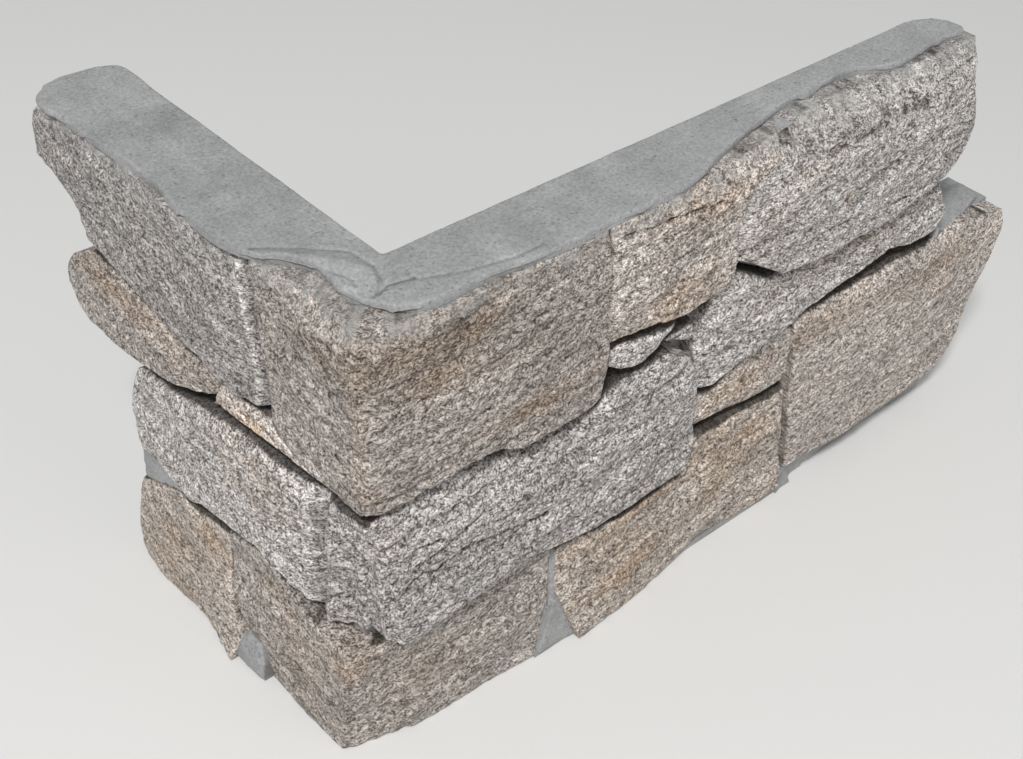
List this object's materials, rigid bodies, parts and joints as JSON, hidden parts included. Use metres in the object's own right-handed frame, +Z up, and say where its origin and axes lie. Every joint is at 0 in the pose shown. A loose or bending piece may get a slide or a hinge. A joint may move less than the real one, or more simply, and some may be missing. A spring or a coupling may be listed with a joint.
{
  "type": "stone cladding corner piece",
  "caption": "L-shaped wall cladding corner: split stones with rough faces set in a grey cement backing, with stepped ends that interlock with the next panels.",
  "frame": {"origin": "foot of the inside corner, on the wall's arris that the piece wraps, at the level of the bottom bed", "axes": "+X along the long leg, +Y along the short leg, +Z up; the split faces look to -Y and -X"},
  "size_m": [0.3877, 0.2051, 0.2],
  "materials": {
    "cement": "cast grey cement, trowelled, fine pits",
    "grey_gneiss": "split face, grey with dark specks",
    "beige_gneiss": "split face, beige with ochre bands",
    "brown_gneiss": "split face, brown with weathered crust"
  },
  "bodies": {
    "root": {"cement_backing": "cement", "top_corner_stone": "beige_gneiss", "mid_corner_stone": "grey_gneiss", "low_corner_stone": "beige_gneiss", "top_inner_stone": "beige_gneiss", "top_outer_stone": "grey_gneiss", "long_mid_stone": "grey_gneiss", "end_stone": "beige_gneiss", "thin_stone": "beige_gneiss", "low_mid_stone": "brown_gneiss", "low_inner_stone": "brown_gneiss", "chip_under_top_course": "grey_gneiss", "chip_over_mid_corner": "grey_gneiss", "short_top_stone": "grey_gneiss", "short_wedge_stone": "beige_gneiss", "short_sliver": "beige_gneiss", "short_mid_stone": "grey_gneiss", "short_low_stone": "brown_gneiss"}
  },
  "joints": []
}
